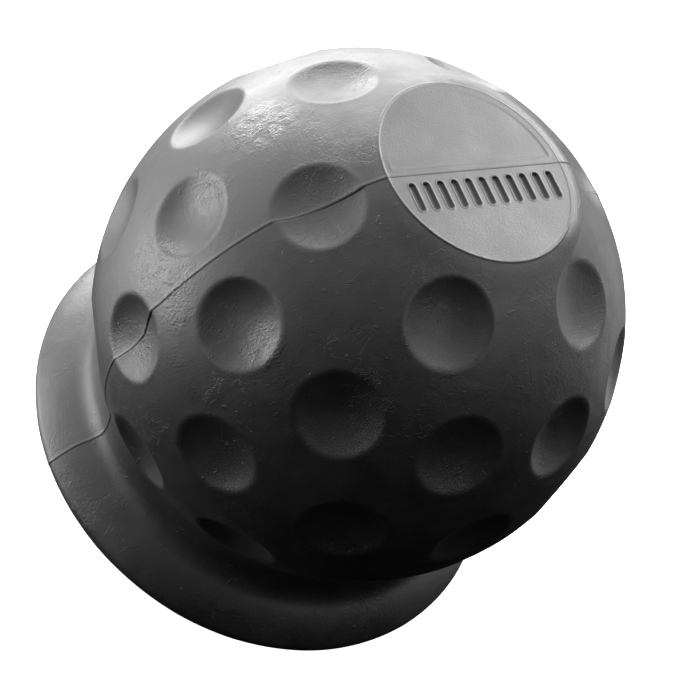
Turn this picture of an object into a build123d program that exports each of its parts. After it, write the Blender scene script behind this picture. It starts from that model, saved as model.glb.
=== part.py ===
from build123d import *
import math
import os

# Hollow soft-rubber ball cap: a dimpled ball that runs down into a flared collar.
# Millimetres. +Z up the axis of the ball, origin at the centre of the collar's flat foot.
# The two half shells meet face to face on the seam plane, Y = 0.

# ---- outside ----
BALL_RADIUS = 38.0
BALL_END_BELOW_EQUATOR = 30.0     # degrees below the equator where the ball runs into the neck
NECK_ARC_RADIUS = 11.0            # hollow curve from the ball to the narrowest part of the neck
COLLAR_FILLET_RADIUS = 4.2        # tighter hollow curve from the neck to the collar
COLLAR_TOP_SLOPE = 35.0           # degrees below level where the collar's top starts
COLLAR_EDGE_SLOPE = 57.0          # degrees below level where it meets the lip
COLLAR_CROWN_RADIUS = 14.0        # gently rounded top of the collar
LIP_RADIUS = 1.7                  # rounded outer edge of the collar
COLLAR_HEIGHT = 10.2              # from the foot to the narrowest part of the neck

# ---- inside ----
CAVITY_RADIUS = 25.2              # takes a 50 mm ball
MOUTH_RADIUS = 21.0               # lip that the ball stretches on its way in
MOUTH_BOTTOM_HEIGHT = 13.0        # where the mouth starts to open out to the foot
FOOT_INNER_RADIUS = 33.4
INNER_EDGE_ROUND = 1.2            # rounding of the mouth's two edges and the foot's inner edge

# ---- flat pad on top ----
PAD_RADIUS = 14.25
PAD_STEP = 0.37                   # how far the pad's edge stands above the ball

# ---- dimples: rows down the ball, each an even ring ----
DIMPLE_RIM_RADIUS = 5.9
DIMPLE_CUTTER_RADIUS = 14.1
DIMPLE_RIM_ROUND = 0.7
RIM_TOLERANCE = 0.05              # for telling a rim from the other round edges
DIMPLE_ROWS = [                   # angle down from the top, count, first azimuth, all degrees
    (36.0, 6, 0.0),
    (61.5, 12, 15.0),
    (86.5, 12, 0.0),
    (112.4, 12, 15.0),
]

# ---- row of plain sunk marks on the pad, beside the seam ----
MARK_COUNT = 11
MARK_PITCH = 2.25
MARK_WIDTH = 0.95
MARK_HEIGHT = 4.2
MARK_DEPTH = 0.5
MARK_OFFSET_FROM_SEAM = 3.3

# ---- shallow half-moon panel on the other half of the pad ----
PANEL_MARGIN = 1.1
PANEL_DEPTH = 0.12


def rad(degrees):
    return math.radians(degrees)


# ---- worked out from the driving dimensions ----
neck_arc_centre_radius = (BALL_RADIUS + NECK_ARC_RADIUS) * math.cos(rad(BALL_END_BELOW_EQUATOR))
neck_drop = (BALL_RADIUS + NECK_ARC_RADIUS) * math.sin(rad(BALL_END_BELOW_EQUATOR))
neck_radius = neck_arc_centre_radius - NECK_ARC_RADIUS
ball_centre_height = COLLAR_HEIGHT + neck_drop
pad_edge_angle = math.degrees(math.acos(PAD_RADIUS / BALL_RADIUS))
pad_height = ball_centre_height + BALL_RADIUS * math.sin(rad(pad_edge_angle)) + PAD_STEP
mouth_top_drop = math.sqrt(CAVITY_RADIUS**2 - MOUTH_RADIUS**2)
mouth_edge_angle = math.degrees(math.acos(MOUTH_RADIUS / CAVITY_RADIUS))
rim_plane_distance = math.sqrt(BALL_RADIUS**2 - DIMPLE_RIM_RADIUS**2)
cutter_distance = rim_plane_distance + math.sqrt(DIMPLE_CUTTER_RADIUS**2 - DIMPLE_RIM_RADIUS**2)


def heading(degrees_below_level):
    """Unit direction in the section that runs outward and down."""
    return (math.cos(rad(degrees_below_level)), -math.sin(rad(degrees_below_level)))


# ---- the whole wall, turned about the axis ----
with BuildPart() as whole_cap:
    with BuildSketch(Plane.XZ) as wall_section:
        with BuildLine() as wall_outline:
            pad_top = Line((0, pad_height), (PAD_RADIUS, pad_height))
            ball = CenterArc(
                (0, ball_centre_height),
                BALL_RADIUS,
                pad_edge_angle,
                -(pad_edge_angle + BALL_END_BELOW_EQUATOR),
            )
            pad_step = Line(pad_top @ 1, ball @ 0)
            neck = JernArc(ball @ 1, ball % 1, NECK_ARC_RADIUS, BALL_END_BELOW_EQUATOR)
            collar_fillet = JernArc(neck @ 1, neck % 1, COLLAR_FILLET_RADIUS, 90 - COLLAR_TOP_SLOPE)
            crown_turn = COLLAR_EDGE_SLOPE - COLLAR_TOP_SLOPE
            crown = JernArc(collar_fillet @ 1, collar_fillet % 1, COLLAR_CROWN_RADIUS, -crown_turn)
            lip_drop = LIP_RADIUS * (1 + math.cos(rad(COLLAR_EDGE_SLOPE)))
            edge_length = ((crown @ 1).Y - lip_drop) / math.sin(rad(COLLAR_EDGE_SLOPE))
            edge_run = heading(COLLAR_EDGE_SLOPE)
            edge_end = ((crown @ 1).X + edge_length * edge_run[0], (crown @ 1).Y + edge_length * edge_run[1])
            edge = Line(crown @ 1, edge_end)
            lip = JernArc(edge @ 1, edge % 1, LIP_RADIUS, -(180 - COLLAR_EDGE_SLOPE))
            foot = Line(lip @ 1, (FOOT_INNER_RADIUS, 0))
            flare = Line(foot @ 1, (MOUTH_RADIUS, MOUTH_BOTTOM_HEIGHT))
            mouth = Line(flare @ 1, (MOUTH_RADIUS, ball_centre_height - mouth_top_drop))
            cavity = CenterArc(
                (0, ball_centre_height), CAVITY_RADIUS, -mouth_edge_angle, 90 + mouth_edge_angle
            )
            Line(cavity @ 1, pad_top @ 0)
        make_face()
        inner_corners = [flare @ 0, flare @ 1, mouth @ 1]
        for corner in inner_corners:
            fillet(wall_section.vertices().sort_by_distance(corner)[0], INNER_EDGE_ROUND)
    revolve(axis=Axis.Z)

    # dimples, each cut by a sphere whose centre stands outside the ball
    for angle_down, count, first_azimuth in DIMPLE_ROWS:
        row_radius = cutter_distance * math.sin(rad(angle_down))
        row_height = ball_centre_height + cutter_distance * math.cos(rad(angle_down))
        with Locations((0, 0, row_height)):
            with PolarLocations(row_radius, count, start_angle=first_azimuth):
                Sphere(DIMPLE_CUTTER_RADIUS, mode=Mode.SUBTRACT)

    # soft rims: the cuts leave each rim as a circle, or as a free curve where it runs into the neck
    cut_circles = [
        rim
        for rim in whole_cap.edges().filter_by(GeomType.CIRCLE)
        if abs(rim.radius - DIMPLE_RIM_RADIUS) < RIM_TOLERANCE
    ]
    fillet(cut_circles + whole_cap.edges().filter_by(GeomType.BSPLINE), DIMPLE_RIM_ROUND)

    # half-moon panel on the pad
    with BuildSketch(Plane.XY.offset(pad_height)):
        Circle(PAD_RADIUS - PANEL_MARGIN)
        with Locations((0, PANEL_MARGIN)):
            Rectangle(2 * PAD_RADIUS, PAD_RADIUS, align=(Align.CENTER, Align.MIN), mode=Mode.INTERSECT)
    extrude(amount=-PANEL_DEPTH, mode=Mode.SUBTRACT)

    # sunk marks on the pad
    with BuildSketch(Plane.XY.offset(pad_height)):
        with Locations((0, -MARK_OFFSET_FROM_SEAM)):
            with GridLocations(MARK_PITCH, MARK_PITCH, MARK_COUNT, 1):
                SlotOverall(MARK_HEIGHT, MARK_WIDTH, rotation=90)
    extrude(amount=-MARK_DEPTH, mode=Mode.SUBTRACT)

# ---- the two bonded half shells ----
with BuildPart() as plain_half:
    add(whole_cap.part)
    split(bisect_by=Plane.XZ, keep=Keep.BOTTOM)
plain_half.part.label = "plain_half_shell"

with BuildPart() as marked_half:
    add(whole_cap.part)
    split(bisect_by=Plane.XZ, keep=Keep.TOP)
marked_half.part.label = "marked_half_shell"

os.makedirs("parts", exist_ok=True)
export_step(plain_half.part, "parts/plain_half_shell.step")
export_step(marked_half.part, "parts/marked_half_shell.step")

print("neck radius", round(neck_radius, 2), "ball centre height", round(ball_centre_height, 2))
print("pad height", round(pad_height, 2), "edge length", round(edge_length, 2))
print("widest", whole_cap.part.bounding_box().size)
straight_mouth = plain_half.faces().filter_by(GeomType.CYLINDER).sort_by(SortBy.AREA)[-1].bounding_box()
print("straight mouth from", round(straight_mouth.min.Z, 3), "to", round(straight_mouth.max.Z, 3))
foot_face = plain_half.faces().filter_by(Axis.Z).sort_by(Axis.Z)[0].bounding_box()
print("foot face half width", round(foot_face.max.X, 3))
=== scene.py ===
import math

import bmesh
import bpy
import numpy as np
from mathutils import Matrix, Vector, geometry, noise


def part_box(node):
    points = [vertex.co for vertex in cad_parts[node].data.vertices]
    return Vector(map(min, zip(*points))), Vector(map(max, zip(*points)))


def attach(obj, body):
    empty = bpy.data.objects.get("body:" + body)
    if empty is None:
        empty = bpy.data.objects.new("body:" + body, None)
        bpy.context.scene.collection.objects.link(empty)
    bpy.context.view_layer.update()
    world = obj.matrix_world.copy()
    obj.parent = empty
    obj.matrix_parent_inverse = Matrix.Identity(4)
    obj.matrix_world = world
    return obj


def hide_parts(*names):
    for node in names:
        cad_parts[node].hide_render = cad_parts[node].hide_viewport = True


# A hollow soft-rubber ball cap: two bonded half shells, a dimpled ball on a flared collar.
# All sizes are in millimetres until a mesh is made. The seam between the halves is the plane Y = 0.

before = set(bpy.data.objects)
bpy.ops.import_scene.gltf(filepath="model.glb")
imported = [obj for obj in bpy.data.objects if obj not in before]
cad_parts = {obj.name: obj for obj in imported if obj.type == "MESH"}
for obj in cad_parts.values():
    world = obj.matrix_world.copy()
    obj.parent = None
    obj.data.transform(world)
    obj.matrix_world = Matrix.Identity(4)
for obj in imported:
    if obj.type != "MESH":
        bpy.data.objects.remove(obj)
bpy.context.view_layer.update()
MM = 0.001

# ---- outside ----
BALL_RADIUS = 38.0
BALL_END_BELOW_EQUATOR = 30.0
NECK_ARC_RADIUS = 11.0
COLLAR_FILLET_RADIUS = 4.2
COLLAR_TOP_SLOPE = 35.0
COLLAR_EDGE_SLOPE = 57.0
COLLAR_CROWN_RADIUS = 14.0
LIP_RADIUS = 1.7

# ---- inside ----
CAVITY_RADIUS = 25.2
MOUTH_RADIUS = 21.0
MOUTH_BOTTOM_HEIGHT = 13.0
FOOT_INNER_RADIUS = 33.4
INNER_EDGE_ROUND = 1.2

# ---- flat pad ----
PAD_RADIUS = 14.25
PAD_STEP = 0.37
# The pad's raised edge: how far out from the edge, then height.
PAD_LIP = [(-0.30, 0.0), (-0.20, 0.012), (-0.10, 0.03), (0.0, 0.025), (0.06, -0.005)]
PAD_SIDE_START = 0.08             # the side starts this far outside the raised edge
PAD_SIDE_SLOPE = 50.0             # the pad's side falls to the ball at this angle
PAD_SIDE_BLEND = 0.1
PAD_FOOT_RISE = 0.3               # the ball rises softly by this much towards the pad
PAD_FOOT_REACH = 4.2

# ---- soft bead beside the pad on its +X side ----
BEAD_AZIMUTH = 15.0
BEAD_HALF_SPREAD = 50.0           # at full height this far to either side, then it fades out
BEAD_FADE = 30.0
BEAD_SLOPES = [(0.8, 22.0), (2.0, 55.0)]   # from the pad's edge, degrees down from there on
BEAD_TOP_SLOPE = 3.0
BEAD_BLEND = 0.2
BEAD_REACH = 5.0                  # it has met the ball again within this distance

# ---- dimples: angle down from the top, count, first azimuth ----
DIMPLE_RIM_RADIUS = 5.9
DIMPLE_CUTTER_RADIUS = 14.1
DIMPLE_RIM_BLEND = 0.26           # softness of the rim
DIMPLE_LIP_HEIGHT = 0.035
DIMPLE_LIP_WIDTH = 0.5
DIMPLE_ROWS = [(36.0, 6, 0.0), (61.5, 12, 15.0), (86.5, 12, 0.0), (112.4, 12, 15.0)]
MOULD_SLIP = 0.25                 # each half's dimples are out of line by this many degrees

# ---- sunk marks and half-moon panel on the pad ----
MARK_COUNT = 11
MARK_PITCH = 2.25
MARK_WIDTH = 0.95
MARK_HEIGHT = 4.2
MARK_DEPTH = 0.5
MARK_OFFSET_FROM_SEAM = 3.3
# Down into a mark: how far outside its outline, a raised edge, then a share of its depth.
MARK_PROFILE = [
    (0.42, 0, 0), (0.32, 0, 0), (0.22, 0.03, 0), (0.12, 0.04, 0), (0.04, 0, 0), (-0.05, 0, 0.3),
    (-0.14, 0, 0.6), (-0.24, 0, 0.75), (-0.36, 0, 0.8),
]
PANEL_MARGIN = 1.1
PANEL_DEPTH = 0.12
# Down into the panel: how far inside its outline, a raised edge beside the seam, then a share of
# its depth.
PANEL_PROFILE = [
    (-0.12, 0, 0), (0.0, 0.02, 0), (0.12, 0.008, 0.1),
    (0.3, 0, 0.35), (0.48, 0, 0.45), (0.6, 0, 0.45),
]

# ---- seam: a fine groove, a step up to the plain half, and flash along that half's edge ----
SEAM_GROOVE_DEPTH = 0.02
SEAM_GROOVE_WIDTH = 0.045
SEAM_STEP = 0.05
SEAM_STEP_REACH = 1.5
FLASH_HEIGHT = 0.05
FLASH_FROM_SEAM = 0.25
FLASH_WIDTH = 0.14
PAD_SEAM_SHARE = 0.6              # how much of that relief the pad has
PAD_SEAM_FADE = 0.3
BESIDE_SEAM = [0, 0.03, 0.07, 0.12, 0.19, 0.29, 0.43, 0.6]   # lines of the meshes beside the seam
# How far the seam strays from its plane on the -X side: height above the foot, then offset.
SEAM_STRAYS = [
    (0, 0), (2.5, -0.1), (6, 0.15), (9, -0.15), (12, 0.1), (17, 0.2), (23.5, 0.4), (30, 0.25),
    (34, -0.25), (37.5, -0.3), (40.5, 0.4), (45, 0.05), (52, 0.15), (57.5, 0.4), (61, 0.55),
    (63, 0.25), (69, 0),
]
FAR_SEAM_STRAY = 0.3              # and on the +X side, in even waves
FAR_SEAM_WAVE = 3.7
STRAY_REACH = 2.5                 # the skin this far from the seam strays with it

# ---- unevenness of the skin: height, wavelength, seed ----
SKIN_BUMPS = [(0.05, 9.0, 1), (0.018, 3.1, 2)]
SKIN_BUMPS_FROM_PAD = 1.5
FOOT_FLAT_HEIGHT = 1.2            # relief fades out below this height, so that the foot stays flat

# ---- places where the rubber is glossier and more wrinkled: centre, radius ----
GLOSSY_SPOTS = [
    ((-30.3, 9.6, 55.6), 5.5),
    ((-35.8, 6.6, 45.6), 6.0),
    ((-35.4, 1.2, 48.5), 4.5),
    ((-37.8, -2.2, 37.4), 5.0),
    ((-30.8, -12.2, 53.4), 4.5),
    ((-35.9, -1.9, 46.9), 4.0),
    ((-22.0, 15.1, 61.8), 6.5),
]
SPOT_CORE = 0.4                   # the share of a spot's radius that is at full strength
PATCH_LOW = 0.12                  # strength of the patches between the spots, at the least
DULL_BY = 0.02                    # roughness added there, and taken off in the middle of a spot
GLOSSY_BY = 0.19

# ---- other looks of the rubber ----
DARK_RUBBER = (0.004, 0.004, 0.0041, 1)
LIGHT_RUBBER = (0.009, 0.009, 0.0091, 1)
SPECKS_PER_MM = 0.14
SPECK_EDGE = (0.011, 0.018)
SPECK_BRIGHTNESS = 0.06
RIPPLE_SHARE = 0.3                # height of the ripples as a share of the waves'
LINE_SHARE = 0.7                  # height of the lines as a share of the streaks'

# ---- fineness of the meshes ----
OUTSIDE_STEP = 0.395
INSIDE_STEP = 1.6
PAD_SIDE_MESH_STEP = 0.15
FILLET_STEP = 0.36
CROWN_STEP = 0.4
LIP_STEP = 0.3
INNER_CORNER_STEP = 0.35
FOOT_STEP = 0.6
SAME_POINT = 0.004                # points closer than this are one
SHARP_EDGE_ANGLE = 38.0

PLAIN, MARKED = 1, -1             # which side of the seam plane a half lies on

pad_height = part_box("plain_half_shell")[1].z / MM
pad_edge_rise = math.sqrt(BALL_RADIUS**2 - PAD_RADIUS**2)
ball_height = pad_height - PAD_STEP - pad_edge_rise


# ---------------------------------------------------------------- the wall's section

def arc(centre, radius, start, end, step):
    """Points on a circular arc, angles in degrees from level outward, anticlockwise."""
    count = max(3, round(abs(math.radians(end - start)) * radius / step))
    angles = np.radians(np.linspace(start, end, count + 1))
    return [(centre[0] + radius * math.cos(a), centre[1] + radius * math.sin(a)) for a in angles]


def straight(start, end, step):
    """Points on a straight line."""
    count = max(1, round(math.dist(start, end) / step))
    return [tuple(np.array(start) + (np.array(end) - start) * i / count) for i in range(count + 1)]


def rounded_corner(before, corner, after, radius, step):
    """The arc that rounds a corner of the section."""
    a = Vector(before) - Vector(corner)
    b = Vector(after) - Vector(corner)
    half = a.angle(b) / 2
    to_centre = (a.normalized() + b.normalized()).normalized()
    centre = Vector(corner) + to_centre * radius / math.sin(half)
    reach = radius / math.tan(half)
    first = Vector(corner) + a.normalized() * reach - centre
    last = Vector(corner) + b.normalized() * reach - centre
    start = math.degrees(math.atan2(first.y, first.x))
    turn = math.degrees(math.atan2(first.x * last.y - first.y * last.x, first.dot(last)))
    return arc(centre, radius, start, start + turn, step)


def joined(*stretches):
    """One list of points without the doubled ends."""
    points = []
    for stretch in stretches:
        for point in stretch:
            if not points or math.dist(points[-1], point) > 1e-4:
                points.append(tuple(point))
    return np.array(points)


def pad_side_section():
    """From the pad's raised edge down its side, and out over the soft rise in the ball."""

    def down_from_level(radius):
        return math.degrees(math.acos(radius / BALL_RADIUS))

    start = down_from_level(PAD_RADIUS + PAD_LIP[-1][0] + PAD_SIDE_START)
    end = down_from_level(PAD_RADIUS + PAD_FOOT_REACH)
    side = np.array(arc((0, ball_height), BALL_RADIUS, start, end, PAD_SIDE_MESH_STEP))
    out = (side[:, 0] - PAD_RADIUS) / PAD_FOOT_REACH
    side[:, 1] += PAD_FOOT_RISE * (1 - out) ** 2 * (1 + 2 * out)
    fall = pad_height - math.tan(math.radians(PAD_SIDE_SLOPE)) * (side[:, 0] - PAD_RADIUS)
    side[:, 1] = -smooth_min(-side[:, 1], -fall, PAD_SIDE_BLEND)
    return side, end


def collar_section(neck_end):
    """From the narrowest part of the neck over the collar and round its lip."""
    fillet_centre = (neck_end[0] + COLLAR_FILLET_RADIUS, neck_end[1])
    fillet = arc(fillet_centre, COLLAR_FILLET_RADIUS, 180, 270 - COLLAR_TOP_SLOPE, FILLET_STEP)
    top = 90 - COLLAR_TOP_SLOPE
    edge = 90 - COLLAR_EDGE_SLOPE
    crown_centre = (
        fillet[-1][0] - COLLAR_CROWN_RADIUS * math.cos(math.radians(top)),
        fillet[-1][1] - COLLAR_CROWN_RADIUS * math.sin(math.radians(top)),
    )
    crown = arc(crown_centre, COLLAR_CROWN_RADIUS, top, edge, CROWN_STEP)
    edge_angle = math.radians(edge)
    drop = crown[-1][1] - LIP_RADIUS * (1 + math.sin(edge_angle))
    lip_start_radius = crown[-1][0] + drop / math.tan(math.radians(COLLAR_EDGE_SLOPE))
    lip_centre = (lip_start_radius - LIP_RADIUS * math.cos(edge_angle), LIP_RADIUS)
    lip = arc(lip_centre, LIP_RADIUS, edge, -90, LIP_STEP)
    return fillet, crown, lip


def outer_section():
    """From the pad's flat, over its edge and down the ball, neck and collar to the foot."""
    pad_lip = [(PAD_RADIUS + out, pad_height + up) for out, up in PAD_LIP]
    pad_side, ball_start = pad_side_section()
    ball = arc((0, ball_height), BALL_RADIUS, ball_start, -BALL_END_BELOW_EQUATOR, OUTSIDE_STEP)
    reach = BALL_RADIUS + NECK_ARC_RADIUS
    end = math.radians(BALL_END_BELOW_EQUATOR)
    neck_centre = (reach * math.cos(end), ball_height - reach * math.sin(end))
    neck = arc(neck_centre, NECK_ARC_RADIUS, 180 - BALL_END_BELOW_EQUATOR, 180, OUTSIDE_STEP)
    return joined(pad_lip, pad_side, ball, neck, *collar_section(neck[-1]))


def inner_section(foot_start):
    """From the lip over the foot, up the flare and the mouth, and round the cavity to the axis."""
    mouth_drop = math.sqrt(CAVITY_RADIUS**2 - MOUTH_RADIUS**2)
    foot_corner = (FOOT_INNER_RADIUS, 0.0)
    mouth_low = (MOUTH_RADIUS, MOUTH_BOTTOM_HEIGHT)
    mouth_high = (MOUTH_RADIUS, ball_height - mouth_drop)
    ahead = 0.1                   # a short way up the cavity's wall, along its tangent
    up_cavity = (MOUTH_RADIUS + mouth_drop * ahead, mouth_high[1] + MOUTH_RADIUS * ahead)
    rounding = (INNER_EDGE_ROUND, INNER_CORNER_STEP)
    foot_edge = rounded_corner(foot_start, foot_corner, mouth_low, *rounding)
    low_edge = rounded_corner(foot_corner, mouth_low, mouth_high, *rounding)
    high_edge = rounded_corner(mouth_low, mouth_high, up_cavity, *rounding)
    mouth_angle = math.degrees(math.atan2(-mouth_drop, MOUTH_RADIUS))
    past_edge = 3                 # degrees, which leaves room for the rounded edge
    cavity = arc((0, ball_height), CAVITY_RADIUS, mouth_angle + past_edge, 90, INSIDE_STEP)
    return joined(
        straight(foot_start, foot_edge[0], FOOT_STEP),
        foot_edge,
        straight(foot_edge[-1], low_edge[0], INSIDE_STEP),
        low_edge,
        straight(low_edge[-1], high_edge[0], INSIDE_STEP),
        high_edge,
        cavity,
    )


def section_normals(section):
    """Outward unit normals of the section, for a path that runs clockwise round the wall."""
    along = np.gradient(section, axis=0)
    normals = np.column_stack([-along[:, 1], along[:, 0]])
    return normals / np.linalg.norm(normals, axis=1)[:, None]


# ---------------------------------------------------------------- surface detail

def uneven(points, wavelength, seed):
    """Smooth noise from -1 to 1 at each point."""
    shift = Vector((17.3, -4.1, 9.7)) * seed
    return np.array([noise.noise(Vector(p) / wavelength + shift) for p in points])


def smooth_min(a, b, blend):
    """The smaller of two values, with a soft change from one to the other."""
    share = np.clip(0.5 + 0.5 * (b - a) / blend, 0, 1)
    return b + (a - b) * share - blend * share * (1 - share)


def dimple_axes(half):
    """Unit directions of the dimples, slightly out of line with those of the other half."""
    axes = []
    for down, count, first in DIMPLE_ROWS:
        theta = math.radians(down + MOULD_SLIP * half)
        for i in range(count):
            phi = math.radians(first + 360 / count * i)
            level = math.sin(theta)
            axes.append((level * math.cos(phi), level * math.sin(phi), math.cos(theta)))
    return np.array(axes)


def sink_dimples(points, half):
    """Moves points towards the ball's centre where a dimple lies, with a soft rim."""
    centre = np.array([0, 0, ball_height])
    from_centre = points - centre
    distance = np.linalg.norm(from_centre, axis=1)
    direction = from_centre / distance[:, None]
    rim_plane = math.sqrt(BALL_RADIUS**2 - DIMPLE_RIM_RADIUS**2)
    cutter = rim_plane + math.sqrt(DIMPLE_CUTTER_RADIUS**2 - DIMPLE_RIM_RADIUS**2)
    sunk = distance.copy()
    for axis in dimple_axes(half):
        cosine = direction @ axis
        from_rim = BALL_RADIUS * np.arccos(np.clip(cosine, -1, 1)) - DIMPLE_RIM_RADIUS
        sunk += DIMPLE_LIP_HEIGHT * np.exp(-((from_rim / DIMPLE_LIP_WIDTH) ** 2))
        inside = DIMPLE_CUTTER_RADIUS**2 - cutter**2 * (1 - cosine**2)
        near = (cosine > 0) & (inside > 0)
        floor = cutter * cosine[near] - np.sqrt(inside[near])
        sunk[near] = np.minimum(sunk[near], smooth_min(sunk[near], floor, DIMPLE_RIM_BLEND))
    return centre + direction * sunk[:, None]


def add_bead(points):
    """Raises a soft bead beside the pad, on its +X side."""
    x, y, z = points.T
    out = np.hypot(x, y) - PAD_RADIUS
    fall = math.tan(math.radians(BEAD_TOP_SLOPE))
    target = pad_height - fall * out
    height = pad_height
    reached = 0.0
    for start, slope in BEAD_SLOPES:
        height -= fall * (start - reached)
        reached = start
        fall = math.tan(math.radians(slope))
        target = smooth_min(target, height - fall * (out - start), BEAD_BLEND)
    turn = np.abs(np.degrees(np.arctan2(y, x)) - BEAD_AZIMUTH)
    share = np.clip((BEAD_HALF_SPREAD + BEAD_FADE - turn) / BEAD_FADE, 0, 1)
    share = share**2 * (3 - 2 * share)
    beside_pad = (out > 0) & (out < BEAD_REACH) & (z > ball_height)
    rise = np.where(beside_pad, np.maximum(target - z, 0), 0)
    return np.column_stack([x, y, z + share * rise])


def seam_relief(y, half):
    """Height beside the seam: a fine groove, and a step up and some flash on the plain half."""
    away = np.abs(y)
    groove = -SEAM_GROOVE_DEPTH * np.exp(-((away / SEAM_GROOVE_WIDTH) ** 2))
    step = SEAM_STEP * half * np.exp(-away / SEAM_STEP_REACH) / 2
    flash = FLASH_HEIGHT * np.exp(-(((away - FLASH_FROM_SEAM) / FLASH_WIDTH) ** 2))
    return groove + step + (flash if half == PLAIN else 0)


def stray(points):
    """Turns points beside the seam about the axis, so that the seam wanders a little."""
    x, y, z = points.T
    heights, offsets = np.array(SEAM_STRAYS).T
    near_side = np.interp(z, heights, offsets)
    fade = np.interp(z, (0, 4, 64, 69), (0, 1, 1, 0))
    far_side = FAR_SEAM_STRAY * fade * np.sin(z / FAR_SEAM_WAVE)
    offset = np.where(x < 0, near_side, far_side) * np.exp(-((y / STRAY_REACH) ** 2))
    new_y = y + offset
    new_x = np.sign(x) * np.sqrt(np.maximum(x**2 + y**2 - new_y**2, 0))
    off_axis = np.abs(x) > 5
    return np.column_stack([np.where(off_axis, new_x, x), np.where(off_axis, new_y, y), z])


# ---------------------------------------------------------------- patches of mesh

def seam_graded_angles():
    """Azimuths across a half turn, closer together beside the seam."""
    beside = np.array(BESIDE_SEAM + [0.88, 1.2]) / BALL_RADIUS
    count = round((math.pi - 2 * beside[-1]) * BALL_RADIUS / OUTSIDE_STEP)
    middle = np.linspace(beside[-1], math.pi - beside[-1], count + 1)
    return np.concatenate([beside[:-1], middle, (math.pi - beside[:-1])[::-1]])


def turned(section, angles, half):
    """Points of a section turned about the axis, rows first."""
    r = section[:, 0][:, None]
    x = r * np.cos(angles)
    y = half * r * np.sin(angles)
    z = np.broadcast_to(section[:, 1][:, None], x.shape)
    return np.stack([x, y, z], axis=-1)


def grid_faces(rows, columns):
    """Four-sided faces between the rows and columns of a grid of points."""
    at = np.arange(rows * columns).reshape(rows, columns)
    return np.stack([at[:-1, :-1], at[1:, :-1], at[1:, 1:], at[:-1, 1:]], axis=-1).reshape(-1, 4)


def skin_bumps(points):
    """Slight unevenness, which leaves the pad's edge clean."""
    bumps = sum(height * uneven(points, wave, seed) for height, wave, seed in SKIN_BUMPS)
    from_pad = np.hypot(points[:, 0], points[:, 1]) - PAD_RADIUS
    on_top = points[:, 2] > ball_height
    return bumps * np.where(on_top, np.clip((from_pad - 0.1) / SKIN_BUMPS_FROM_PAD, 0, 1), 1)


def outside_patch(half, angles):
    """The ball, neck and collar with all their relief."""
    section = outer_section()
    normals = section_normals(section)
    normals[: len(PAD_LIP)] = (0, 1)
    points = turned(section, angles, half).reshape(-1, 3)
    normal_r = np.repeat(normals[:, 0], len(angles))
    normal_z = np.repeat(normals[:, 1], len(angles))
    turn = np.tile(angles, len(section))
    normal = np.column_stack([normal_r * np.cos(turn), half * normal_r * np.sin(turn), normal_z])
    seam_y = points[:, 1].copy()
    points = add_bead(sink_dimples(stray(points), half))
    relief = seam_relief(seam_y, half)
    on_lip = slice(0, len(PAD_LIP) * len(angles))
    relief[on_lip] = pad_relief(seam_y[on_lip], half)
    height_fade = np.clip(points[:, 2] / FOOT_FLAT_HEIGHT, 0, 1)
    points = points + normal * ((skin_bumps(points) + relief) * height_fade)[:, None]
    return points, grid_faces(len(section), len(angles)), section[-1]


def inside_patch(half, angles, foot_start):
    """The foot, flare, mouth and cavity, closed in a fan at the top of the cavity."""
    section = inner_section(foot_start)
    rows = section[:-1]
    points = turned(rows, angles, half).reshape(-1, 3)
    faces = [tuple(f) for f in grid_faces(len(rows), len(angles))]
    apex = len(points)
    last = (len(rows) - 1) * len(angles)
    faces += [(last + i, apex, last + i + 1) for i in range(len(angles) - 1)]
    points = np.vstack([points, [0, 0, section[-1][1]]])
    return points, faces


def slot_outline(centre_x, grow, count=28):
    """An upright slot with round ends, grown or shrunk by an offset."""
    radius = MARK_WIDTH / 2 + grow
    straight_half = (MARK_HEIGHT - MARK_WIDTH) / 2
    turn = np.linspace(0, 2 * math.pi, count, endpoint=False) + math.pi / count
    y = radius * np.sin(turn) + straight_half * np.sign(np.sin(turn))
    x = centre_x + radius * np.cos(turn)
    return np.column_stack([x, y - MARK_OFFSET_FROM_SEAM])


def panel_outline(shrink):
    """The half-moon panel's outline, as points, from its right corner over the arc."""
    radius = PAD_RADIUS - PANEL_MARGIN - shrink
    base = PANEL_MARGIN + shrink
    start = math.asin(base / radius)
    turn = np.linspace(start, math.pi - start, 90)
    over = np.column_stack([radius * np.cos(turn), radius * np.sin(turn)])
    back = np.linspace(over[-1], over[0], 60)[1:-1]
    return np.vstack([over, back])


def panel_tilt(ring):
    """Share of the panel's depth: deepest beside the seam on the +X side, none at the far side."""
    x, y = ring.T
    reach = PAD_RADIUS - PANEL_MARGIN
    return 0.5 * (reach - y) / (reach - PANEL_MARGIN) + 0.4 * x / reach


def ring_walls(rings):
    """Faces between matching closed outlines, and a floor in the last one."""
    points = np.vstack([np.column_stack([ring, z]) for ring, z in rings])
    n = len(rings[0][0])
    faces = []
    for k in range(len(rings) - 1):
        for i in range(n):
            j = (i + 1) % n
            faces.append((k * n + i, k * n + j, (k + 1) * n + j, (k + 1) * n + i))
    faces.append(tuple((len(rings) - 1) * n + i for i in range(n)))
    return points, faces


def inside_outline(points, outline):
    """Which points lie in a closed outline."""
    x, y = points[:, 0][:, None], points[:, 1][:, None]
    ax, ay = outline[:, 0], outline[:, 1]
    bx, by = np.roll(ax, -1), np.roll(ay, -1)
    crosses = (ay > y) != (by > y)
    with np.errstate(divide="ignore", invalid="ignore"):
        at = ax + (y - ay) * (bx - ax) / (by - ay)
    return (crosses & (x < at)).sum(axis=1) % 2 == 1


def mark_rings():
    """For each sunk mark, the outlines that lead down into it."""
    centres = (np.arange(MARK_COUNT) - (MARK_COUNT - 1) / 2) * MARK_PITCH
    return [
        [(slot_outline(x, grow), lip - MARK_DEPTH * share) for grow, lip, share in MARK_PROFILE]
        for x in centres
    ]


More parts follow.
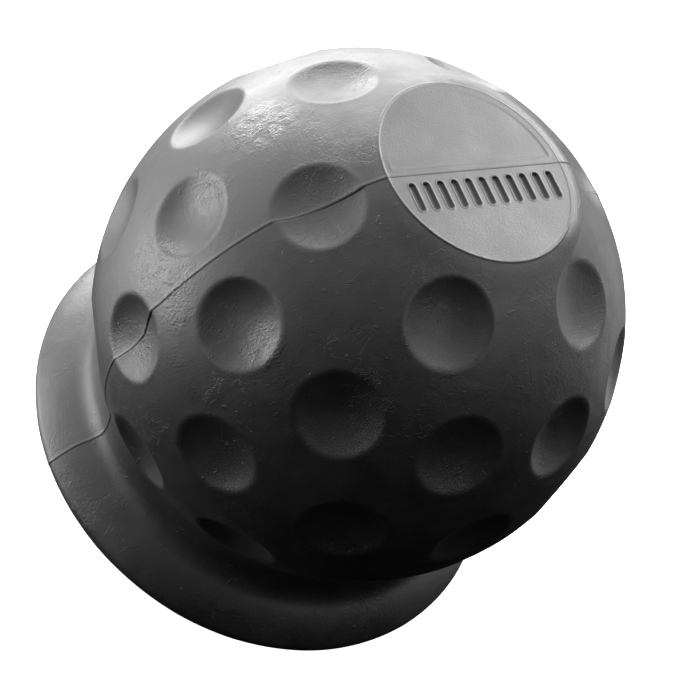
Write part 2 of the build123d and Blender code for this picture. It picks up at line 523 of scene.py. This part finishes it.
def panel_rings():
    """The outlines that lead down into the half-moon panel."""
    rings = []
    for shrink, lip, share in PANEL_PROFILE:
        ring = panel_outline(shrink)
        along_seam = np.exp(-((ring[:, 1] - PANEL_MARGIN - shrink) ** 2))
        rings.append((ring, lip * along_seam - PANEL_DEPTH * share * panel_tilt(ring)))
    return [rings]


def pad_relief(y, half):
    """The seam's relief on the pad. It ends close to the seam, so that the rest is flat."""
    away = np.abs(y)
    fade = np.clip((BESIDE_SEAM[-1] - away) / PAD_SEAM_FADE, 0, 1)
    return PAD_SEAM_SHARE * seam_relief(away, half) * fade


def pad_lines(half, radius):
    """Lines across the pad beside the seam, and one inside its rim, that keep the mesh even."""
    past_panel_lines = BESIDE_SEAM[-1] + 0.12
    rim_gap = 0.4
    lines = []
    for away in BESIDE_SEAM + [past_panel_lines]:
        reach = math.sqrt(radius**2 - away**2) - (0.0 if away == 0 else rim_gap)
        x = np.linspace(reach, -reach, 96)
        if away == 0:
            x = x[1:-1]
        lines.append(np.column_stack([x, np.full(len(x), half * away)]))
    inset = radius - 0.12
    start = math.asin(0.8 / inset)
    turn = np.linspace(start, math.pi - start, 180)
    lines.append(np.column_stack([inset * np.cos(turn), half * inset * np.sin(turn)]))
    return lines


def pad_patch(half, angles):
    """The flat half disc with its marks or panel, filled with triangles."""
    radius = PAD_RADIUS + PAD_LIP[0][0]
    rim = np.column_stack([radius * np.cos(angles), half * radius * np.sin(angles)])
    points = [rim]
    edges = [(i, i + 1) for i in range(len(rim) - 1)]
    count = len(rim)
    holes = mark_rings() if half == MARKED else panel_rings()
    outlines = [rings[0][0] for rings in holes]
    lines = pad_lines(half, radius)
    for number, line in enumerate(lines + outlines):
        points.append(line)
        edges.extend((count + i, count + i + 1) for i in range(len(line) - 1))
        if number >= len(lines):
            edges.append((count + len(line) - 1, count))
        count += len(line)
    coordinates = [Vector(p) for p in np.vstack(points)]
    found = geometry.delaunay_2d_cdt(coordinates, edges, [], 0, 1e-5)
    flat = np.array([(v.x, v.y) for v in found[0]])
    triangles = np.array(found[2])
    middle = flat[triangles].mean(axis=1)
    keep = np.ones(len(triangles), bool)
    for outline in outlines:
        keep &= ~inside_outline(middle, outline)
    flat_z = pad_height + pad_relief(flat[:, 1], half)
    patches = [(np.column_stack([flat, flat_z]), triangles[keep])]
    for rings in holes:
        lifted = [(ring, z + pad_height + pad_relief(ring[:, 1], half)) for ring, z in rings]
        patches.append(ring_walls(lifted))
    return patches


def half_shell(name, half):
    """One closed half shell: outside, inside, pad and the hidden bonded face."""
    angles = seam_graded_angles()
    outside_points, outside_faces, foot_start = outside_patch(half, angles)
    wall = [(outside_points, outside_faces), inside_patch(half, angles, foot_start)]
    bm = bmesh.new()
    for finish, patches in enumerate((wall, pad_patch(half, angles))):
        for points, faces in patches:
            verts = [bm.verts.new(Vector(p) * MM) for p in points]
            for face in faces:
                bm.faces.new([verts[i] for i in face]).material_index = finish
    bmesh.ops.remove_doubles(bm, verts=bm.verts, dist=SAME_POINT * MM)
    open_edges = [e for e in bm.edges if e.is_boundary]
    bmesh.ops.holes_fill(bm, edges=open_edges, sides=0)
    bmesh.ops.recalc_face_normals(bm, faces=bm.faces)
    mesh = bpy.data.meshes.new(name)
    bm.to_mesh(mesh)
    bm.free()
    mesh.polygons.foreach_set("use_smooth", np.ones(len(mesh.polygons), bool))
    mesh.set_sharp_from_angle(angle=math.radians(SHARP_EDGE_ANGLE))
    shell = bpy.data.objects.new(name, mesh)
    bpy.context.scene.collection.objects.link(shell)
    return shell


# ---------------------------------------------------------------- materials

class Patterns:
    """Short ways to add shader nodes to a material, with patterns measured in millimetres."""

    def __init__(self, material):
        self.nodes = material.node_tree.nodes
        self.links = material.node_tree.links
        place = self.nodes.new("ShaderNodeTexCoord")
        scale = self.nodes.new("ShaderNodeVectorMath")
        scale.operation = "SCALE"
        scale.inputs["Scale"].default_value = 1 / MM
        self.links.new(place.outputs["Object"], scale.inputs[0])
        self.in_mm = scale.outputs[0]

    def noise(self, per_mm, detail, rough, distortion=0.0, vector=None):
        node = self.nodes.new("ShaderNodeTexNoise")
        node.inputs["Scale"].default_value = per_mm
        node.inputs["Detail"].default_value = detail
        node.inputs["Roughness"].default_value = rough
        node.inputs["Distortion"].default_value = distortion
        self.links.new(vector or self.in_mm, node.inputs["Vector"])
        return node.outputs["Fac"]

    def stretched(self, turn, times):
        """Coordinates in which a pattern is drawn out along one turned axis."""
        node = self.nodes.new("ShaderNodeMapping")
        node.vector_type = "TEXTURE"
        node.inputs["Rotation"].default_value = turn
        node.inputs["Scale"].default_value = (times, 1.0, 1.0)
        self.links.new(self.in_mm, node.inputs["Vector"])
        return node.outputs["Vector"]

    def ranged(self, value, low, high, out_low, out_high):
        """One range of values turned into another, and held at its ends."""
        node = self.nodes.new("ShaderNodeMapRange")
        node.inputs["From Min"].default_value = low
        node.inputs["From Max"].default_value = high
        node.inputs["To Min"].default_value = out_low
        node.inputs["To Max"].default_value = out_high
        self.links.new(value, node.inputs["Value"])
        return node.outputs["Result"]

    def combined(self, operation, a, b):
        node = self.nodes.new("ShaderNodeMath")
        node.operation = operation
        self.links.new(a, node.inputs[0])
        self.links.new(b, node.inputs[1])
        return node.outputs["Value"]

    def off_middle(self, value):
        """How far a noise is from its middle value, which gives fine creases."""
        centred = self.nodes.new("ShaderNodeMath")
        centred.operation = "SUBTRACT"
        centred.inputs[1].default_value = 0.5
        self.links.new(value, centred.inputs[0])
        size = self.nodes.new("ShaderNodeMath")
        size.operation = "ABSOLUTE"
        self.links.new(centred.outputs["Value"], size.inputs[0])
        return size.outputs["Value"]

    def spot(self, centre, radius):
        """1 in the middle of a round spot, 0 outside it."""
        node = self.nodes.new("ShaderNodeVectorMath")
        node.operation = "DISTANCE"
        self.links.new(self.in_mm, node.inputs[0])
        node.inputs[1].default_value = centre
        return self.ranged(node.outputs["Value"], radius * SPOT_CORE, radius, 1.0, 0.0)

    def bump(self, height, distance, below=None):
        node = self.nodes.new("ShaderNodeBump")
        node.inputs["Strength"].default_value = 1.0
        node.inputs["Distance"].default_value = distance * MM
        self.links.new(height, node.inputs["Height"])
        if below:
            self.links.new(below, node.inputs["Normal"])
        return node.outputs["Normal"]


def glossy_patches(patterns):
    """Where the rubber is glossier and more wrinkled: faint patches all over, and the spots."""
    broken = patterns.ranged(patterns.noise(0.45, 2.0, 0.6), 0.38, 0.52, 0.35, 1.0)
    patches = patterns.ranged(patterns.noise(0.1, 3.0, 0.65), 0.45, 0.65, PATCH_LOW, 0.45)
    for centre, radius in GLOSSY_SPOTS:
        spot = patterns.combined("MULTIPLY", patterns.spot(centre, radius), broken)
        patches = patterns.combined("MAXIMUM", patches, spot)
    return patches


def moulded_skin(patterns, patches, wrinkle_height, streak_height, wave_height, fine_height):
    """The normal of moulded rubber: waves, ripples, leathery wrinkles, lines, streaks and grain."""
    crease_noise = patterns.noise(2.0, 2.0, 0.6, 0.6, patterns.stretched((0.0, -0.9, 0.3), 1.8))
    creases = patterns.off_middle(crease_noise)
    pebbles = patterns.noise(2.6, 3.0, 0.65)
    wrinkles = patterns.combined("MULTIPLY", patterns.combined("ADD", creases, pebbles), patches)
    line_noise = patterns.noise(0.35, 3.0, 0.6, 0.4, patterns.stretched((0.3, -0.7, 0.5), 1.8))
    lines = patterns.ranged(patterns.off_middle(line_noise), 0.0, 0.012, 0.0, 1.0)
    lined = patterns.ranged(patterns.noise(0.13, 2.0, 0.5), 0.52, 0.6, 0.0, 1.0)
    streak_noise = patterns.noise(1.2, 2.0, 0.5, 0.3, patterns.stretched((1.1, 0.2, 0.8), 6.0))
    streaks = patterns.ranged(streak_noise, 0.68, 0.76, 0.0, 1.0)

    normal = patterns.bump(patterns.noise(0.16, 2.0, 0.5), wave_height)
    normal = patterns.bump(patterns.noise(0.6, 3.0, 0.55), wave_height * RIPPLE_SHARE, normal)
    normal = patterns.bump(wrinkles, wrinkle_height, normal)
    some_lines = patterns.combined("MULTIPLY", lines, lined)
    normal = patterns.bump(some_lines, streak_height * LINE_SHARE, normal)
    normal = patterns.bump(streaks, streak_height, normal)
    return patterns.bump(patterns.noise(3.6, 2.0, 0.6), fine_height, normal)


def dusty_black(patterns):
    """Nearly black, a little uneven, with a few pale specks of dust."""
    tone = patterns.nodes.new("ShaderNodeMix")
    tone.data_type = "RGBA"
    tone.inputs[6].default_value = DARK_RUBBER
    tone.inputs[7].default_value = LIGHT_RUBBER
    blotches = patterns.ranged(patterns.noise(0.22, 5.0, 0.65), 0.3, 0.7, 0, 1)
    patterns.links.new(blotches, tone.inputs[0])
    cells = patterns.nodes.new("ShaderNodeTexVoronoi")
    cells.feature = "F1"
    cells.inputs["Scale"].default_value = SPECKS_PER_MM
    patterns.links.new(patterns.in_mm, cells.inputs["Vector"])
    specks = patterns.ranged(cells.outputs["Distance"], *SPECK_EDGE, SPECK_BRIGHTNESS, 0.0)
    dusty = patterns.nodes.new("ShaderNodeMix")
    dusty.data_type = "RGBA"
    dusty.blend_type = "ADD"
    dusty.inputs[0].default_value = 1.0
    patterns.links.new(tone.outputs[2], dusty.inputs[6])
    patterns.links.new(specks, dusty.inputs[7])
    return dusty.outputs[2]


def rubber(name, roughness, specular, wrinkle_height, streak_height, wave_height, fine_height):
    """Black moulded rubber with uneven gloss. The heights are in millimetres."""
    material = bpy.data.materials.new(name)
    material.use_nodes = True
    patterns = Patterns(material)
    patches = glossy_patches(patterns)
    dull = roughness + DULL_BY
    glossy = roughness - GLOSSY_BY
    skin = moulded_skin(patterns, patches, wrinkle_height, streak_height, wave_height, fine_height)
    shader = patterns.nodes["Principled BSDF"]
    shader.inputs["Specular IOR Level"].default_value = specular
    shader.inputs["IOR"].default_value = 1.5
    patterns.links.new(skin, shader.inputs["Normal"])
    gloss = patterns.ranged(patches, PATCH_LOW, 1.0, dull, glossy)
    patterns.links.new(gloss, shader.inputs["Roughness"])
    patterns.links.new(dusty_black(patterns), shader.inputs["Base Color"])
    return material


def floor_material():
    """Plain and pale."""
    material = bpy.data.materials.new("pale_floor")
    material.use_nodes = True
    shader = material.node_tree.nodes["Principled BSDF"]
    shader.inputs["Base Color"].default_value = (0.9, 0.9, 0.9, 1)
    shader.inputs["Roughness"].default_value = 0.9
    shader.inputs["Emission Color"].default_value = (1, 1, 1, 1)
    shader.inputs["Emission Strength"].default_value = 1.0
    return material


# ---------------------------------------------------------------- the object

def make_object():
    pad = rubber("pad_rubber", 0.43, 0.36, 0.03, 0.0, 0.0, 0.02)
    plain = half_shell("plain_half_rubber", PLAIN)
    plain_rubber = rubber("plain_half_rubber", 0.46, 0.52, 0.13, 0.035, 0.06, 0.014)
    plain.data.materials.append(plain_rubber)
    plain.data.materials.append(pad)
    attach(plain, "root")
    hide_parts("plain_half_shell")

    marked = half_shell("marked_half_rubber", MARKED)
    marked_rubber = rubber("marked_half_rubber", 0.48, 0.41, 0.115, 0.035, 0.06, 0.014)
    marked.data.materials.append(marked_rubber)
    marked.data.materials.append(pad)
    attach(marked, "root")
    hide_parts("marked_half_shell")


# ---------------------------------------------------------------- camera, floor and light

VIEW_AZIMUTH = -146.3             # where the camera stands round the axis, degrees from +X
VIEW_ELEVATION = 47.9
VIEW_ROLL = 39.7
VIEW_DISTANCE = 7.3366 * BALL_RADIUS
# How far the ball's centre is to the right of the view's middle, and above it.
BALL_IN_VIEW = (0.032 * BALL_RADIUS, 0.1317 * BALL_RADIUS)
LENS = 99.96
SENSOR_WIDTH = 36

FLOOR_SIZE = 6                    # this and all below in metres
FLOOR_HEIGHT = -0.0002
LIGHT_DISTANCE = 1.0
# Soft round lights. Each has its direction from the ball (right, up and back in the view), its
# diameter, and its power in watts.
SOFT_LIGHTS = [
    ("top", (-0.05, 0.99, 0.0), 0.35, 3.2),
    ("top_back", (0.05, 0.90, -0.44), 1.2, 25.5),
    ("top_back_left", (-0.40, 0.80, -0.45), 0.35, 4.0),
    ("top_front", (-0.30, 0.80, 0.52), 1.2, 9.0),
    ("left", (-0.97, 0.22, 0.09), 0.7, 9.2),
    ("left_high", (-0.84, 0.54, -0.04), 1.2, 10.0),
    ("left_back", (-0.88, 0.14, -0.45), 0.7, 2.4),
    ("left_high_back", (-0.45, 0.55, -0.70), 0.7, 1.2),
    ("left_front", (-0.68, -0.03, 0.73), 0.35, 1.8),
    ("right_high", (0.64, 0.75, 0.19), 0.35, 2.2),
    ("right_high_back", (0.72, 0.67, -0.20), 0.35, 10.5),
    ("right_front_high", (0.74, 0.57, 0.37), 1.2, 9.5),
    ("right_back", (0.74, 0.48, -0.47), 0.7, 0.6),
    ("right_low_back", (0.77, 0.11, -0.63), 0.7, 2.2),
    ("right_low", (0.99, -0.10, -0.05), 0.5, 1.0),
    ("right_front", (0.74, -0.10, 0.67), 0.35, 1.6),
    ("front", (0.0, 0.20, 0.98), 0.7, 1.2),
]


def view_axes():
    """Right, up and back from the camera."""
    azimuth, elevation, roll = (math.radians(a) for a in (VIEW_AZIMUTH, VIEW_ELEVATION, VIEW_ROLL))
    back = Vector((
        math.cos(elevation) * math.cos(azimuth),
        math.cos(elevation) * math.sin(azimuth),
        math.sin(elevation),
    ))
    level_right = Vector((0, 0, 1)).cross(back).normalized()
    level_up = back.cross(level_right)
    right = level_right * math.cos(roll) + level_up * math.sin(roll)
    return right, back.cross(right), back


def make_camera():
    right, up, back = view_axes()
    centre = Vector((0, 0, ball_height))
    place = centre + back * VIEW_DISTANCE - right * BALL_IN_VIEW[0] - up * BALL_IN_VIEW[1]
    data = bpy.data.cameras.new("camera")
    data.lens = LENS
    data.sensor_width = SENSOR_WIDTH
    camera = bpy.data.objects.new("camera", data)
    turn = Matrix((right, up, back)).transposed().to_4x4()
    camera.matrix_world = Matrix.Translation(place * MM) @ turn
    bpy.context.scene.collection.objects.link(camera)
    bpy.context.scene.camera = camera


def soft_light(name, towards, size, power):
    right, up, back = view_axes()
    direction = (right * towards[0] + up * towards[1] + back * towards[2]).normalized()
    data = bpy.data.lights.new(name, "AREA")
    data.shape = "DISK"
    data.size = size
    data.energy = power
    light = bpy.data.objects.new(name, data)
    light.location = Vector((0, 0, ball_height)) * MM + direction * LIGHT_DISTANCE
    light.rotation_euler = direction.to_track_quat("Z", "Y").to_euler()
    bpy.context.scene.collection.objects.link(light)


def make_stage():
    """A pale floor and backdrop that only the camera sees, and the lights."""
    bpy.ops.mesh.primitive_plane_add(size=FLOOR_SIZE, location=(0, 0, FLOOR_HEIGHT))
    floor = bpy.context.object
    floor.name = "floor"
    floor.data.materials.append(floor_material())
    floor.visible_diffuse = False
    floor.visible_glossy = False
    floor.visible_shadow = False
    world = bpy.data.worlds.new("studio")
    world.use_nodes = True
    world.node_tree.nodes["Background"].inputs["Color"].default_value = (1, 1, 1, 1)
    world.node_tree.nodes["Background"].inputs["Strength"].default_value = 1.0
    world.cycles_visibility.diffuse = False
    world.cycles_visibility.glossy = False
    bpy.context.scene.world = world
    for light in SOFT_LIGHTS:
        soft_light(*light)


bpy.context.scene.view_settings.view_transform = "Standard"
make_object()
make_camera()
make_stage()
